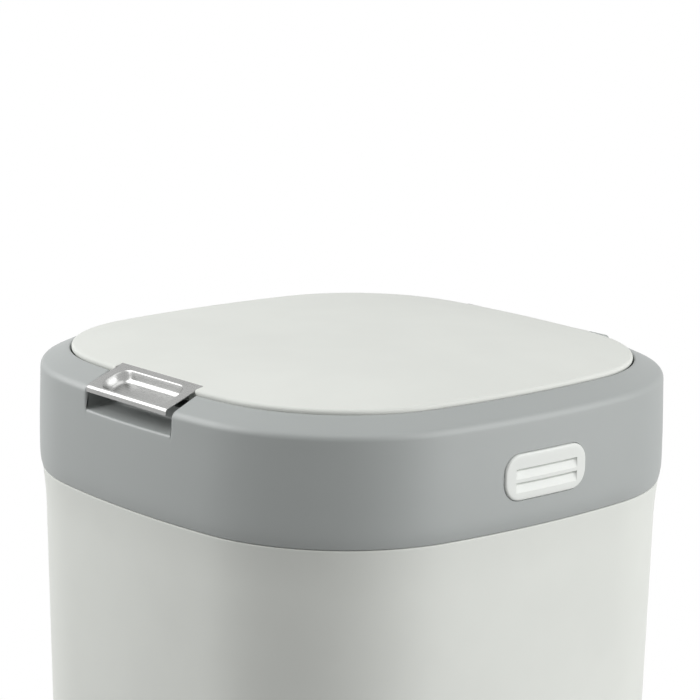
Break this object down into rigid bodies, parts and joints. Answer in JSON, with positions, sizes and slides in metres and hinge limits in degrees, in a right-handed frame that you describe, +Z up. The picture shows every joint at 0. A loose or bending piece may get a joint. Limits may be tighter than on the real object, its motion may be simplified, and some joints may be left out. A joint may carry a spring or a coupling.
{
  "type": "nappy bin",
  "caption": "Tall nappy bin with a tapered square tub, lift-off collar with squeeze latches, hinged lid with a steel finger tab, sprung odour flaps and a deodoriser cap.",
  "frame": {"origin": "middle of the footprint, on the floor that the feet stand on", "axes": "+Z up through the lid, -Y the front with the finger tab, +Y the hinge side, the squeeze buttons on +X and -X"},
  "size_m": [0.2618, 0.26, 0.5392],
  "materials": {
    "tub_plastic": "smooth satin polypropylene, warm off-white",
    "collar_plastic": "smooth satin, light cool grey",
    "lid_plastic": "smooth satin, off-white",
    "button_plastic": "smooth satin, off-white",
    "inner_plastic": "plain moulded, off-white",
    "mount_plastic": "plain moulded, light grey",
    "tab_steel": "stamped stainless, satin with a polished rolled front edge",
    "spring_steel": "bright spring wire and strip",
    "screw_steel": "zinc-plated pan head",
    "rubber": "matt black-grey",
    "seal_rubber": "soft grey thermoplastic rubber",
    "charcoal": "felted activated charcoal"
  },
  "bodies": {
    "bin_body": {"tub": "tub_plastic", "feet": "rubber", "bag_ring": "inner_plastic", "rim_seal": "seal_rubber", "catch_clips": "spring_steel"},
    "collar": {"collar": "collar_plastic", "deck": "inner_plastic", "deck_screws": "screw_steel", "flap_pins": "screw_steel", "flap_spring_front": "spring_steel", "flap_spring_rear": "spring_steel", "hinge_mount": "mount_plastic", "hinge_pin": "screw_steel", "hinge_screws": "screw_steel", "button_guide_right": "inner_plastic", "button_guide_left": "inner_plastic", "guide_screws": "screw_steel", "button_spring_right": "spring_steel", "button_spring_left": "spring_steel"},
    "button_right": {"button_right": "button_plastic"},
    "button_left": {"button_left": "button_plastic"},
    "flap_front": {"flap_front": "inner_plastic"},
    "flap_rear": {"flap_rear": "inner_plastic"},
    "lid": {"lid": "lid_plastic", "lid_liner": "inner_plastic", "lid_seal": "seal_rubber", "lid_screws": "screw_steel", "lift_tab": "tab_steel", "tab_clips": "spring_steel", "charcoal_block": "charcoal"},
    "deodoriser_cap": {"deodoriser_cap": "mount_plastic"}
  },
  "joints": [
    {"name": "collar_lift", "type": "slide", "parent": "bin_body", "child": "collar", "axis": [0, 0, 1], "range_m": [0, 0.12], "deforming": ["catch_clips"]},
    {"name": "lid_hinge", "type": "hinge", "parent": "collar", "child": "lid", "pos_m": [0, 0.119, 0.527], "axis": [-1, 0, 0], "range_deg": [0, 100]},
    {"name": "button_right_press", "type": "slide", "parent": "collar", "child": "button_right", "axis": [-1, 0, 0], "range_m": [0, 0.003], "stiffness_N_per_m": 1200, "springref_m": -0.002, "deforming": ["button_spring_right"]},
    {"name": "button_left_press", "type": "slide", "parent": "collar", "child": "button_left", "axis": [1, 0, 0], "range_m": [0, 0.003], "stiffness_N_per_m": 1200, "springref_m": -0.002, "deforming": ["button_spring_left"]},
    {"name": "flap_front_swing", "type": "hinge", "parent": "collar", "child": "flap_front", "pos_m": [0, -0.0584, 0.5056], "axis": [-1, 0, 0], "range_deg": [0, 75], "stiffness_Nm_per_rad": 0.02, "springref_deg": -34.38, "deforming": ["flap_spring_front"]},
    {"name": "flap_rear_swing", "type": "hinge", "parent": "collar", "child": "flap_rear", "pos_m": [0, 0.0584, 0.5056], "axis": [1, 0, 0], "range_deg": [0, 75], "stiffness_Nm_per_rad": 0.02, "springref_deg": -34.38, "deforming": ["flap_spring_rear"]},
    {"name": "deodoriser_twist", "type": "hinge", "parent": "lid", "child": "deodoriser_cap", "pos_m": [0, 0, 0.52], "axis": [0, 0, 1], "range_deg": [0, 30]}
  ]
}
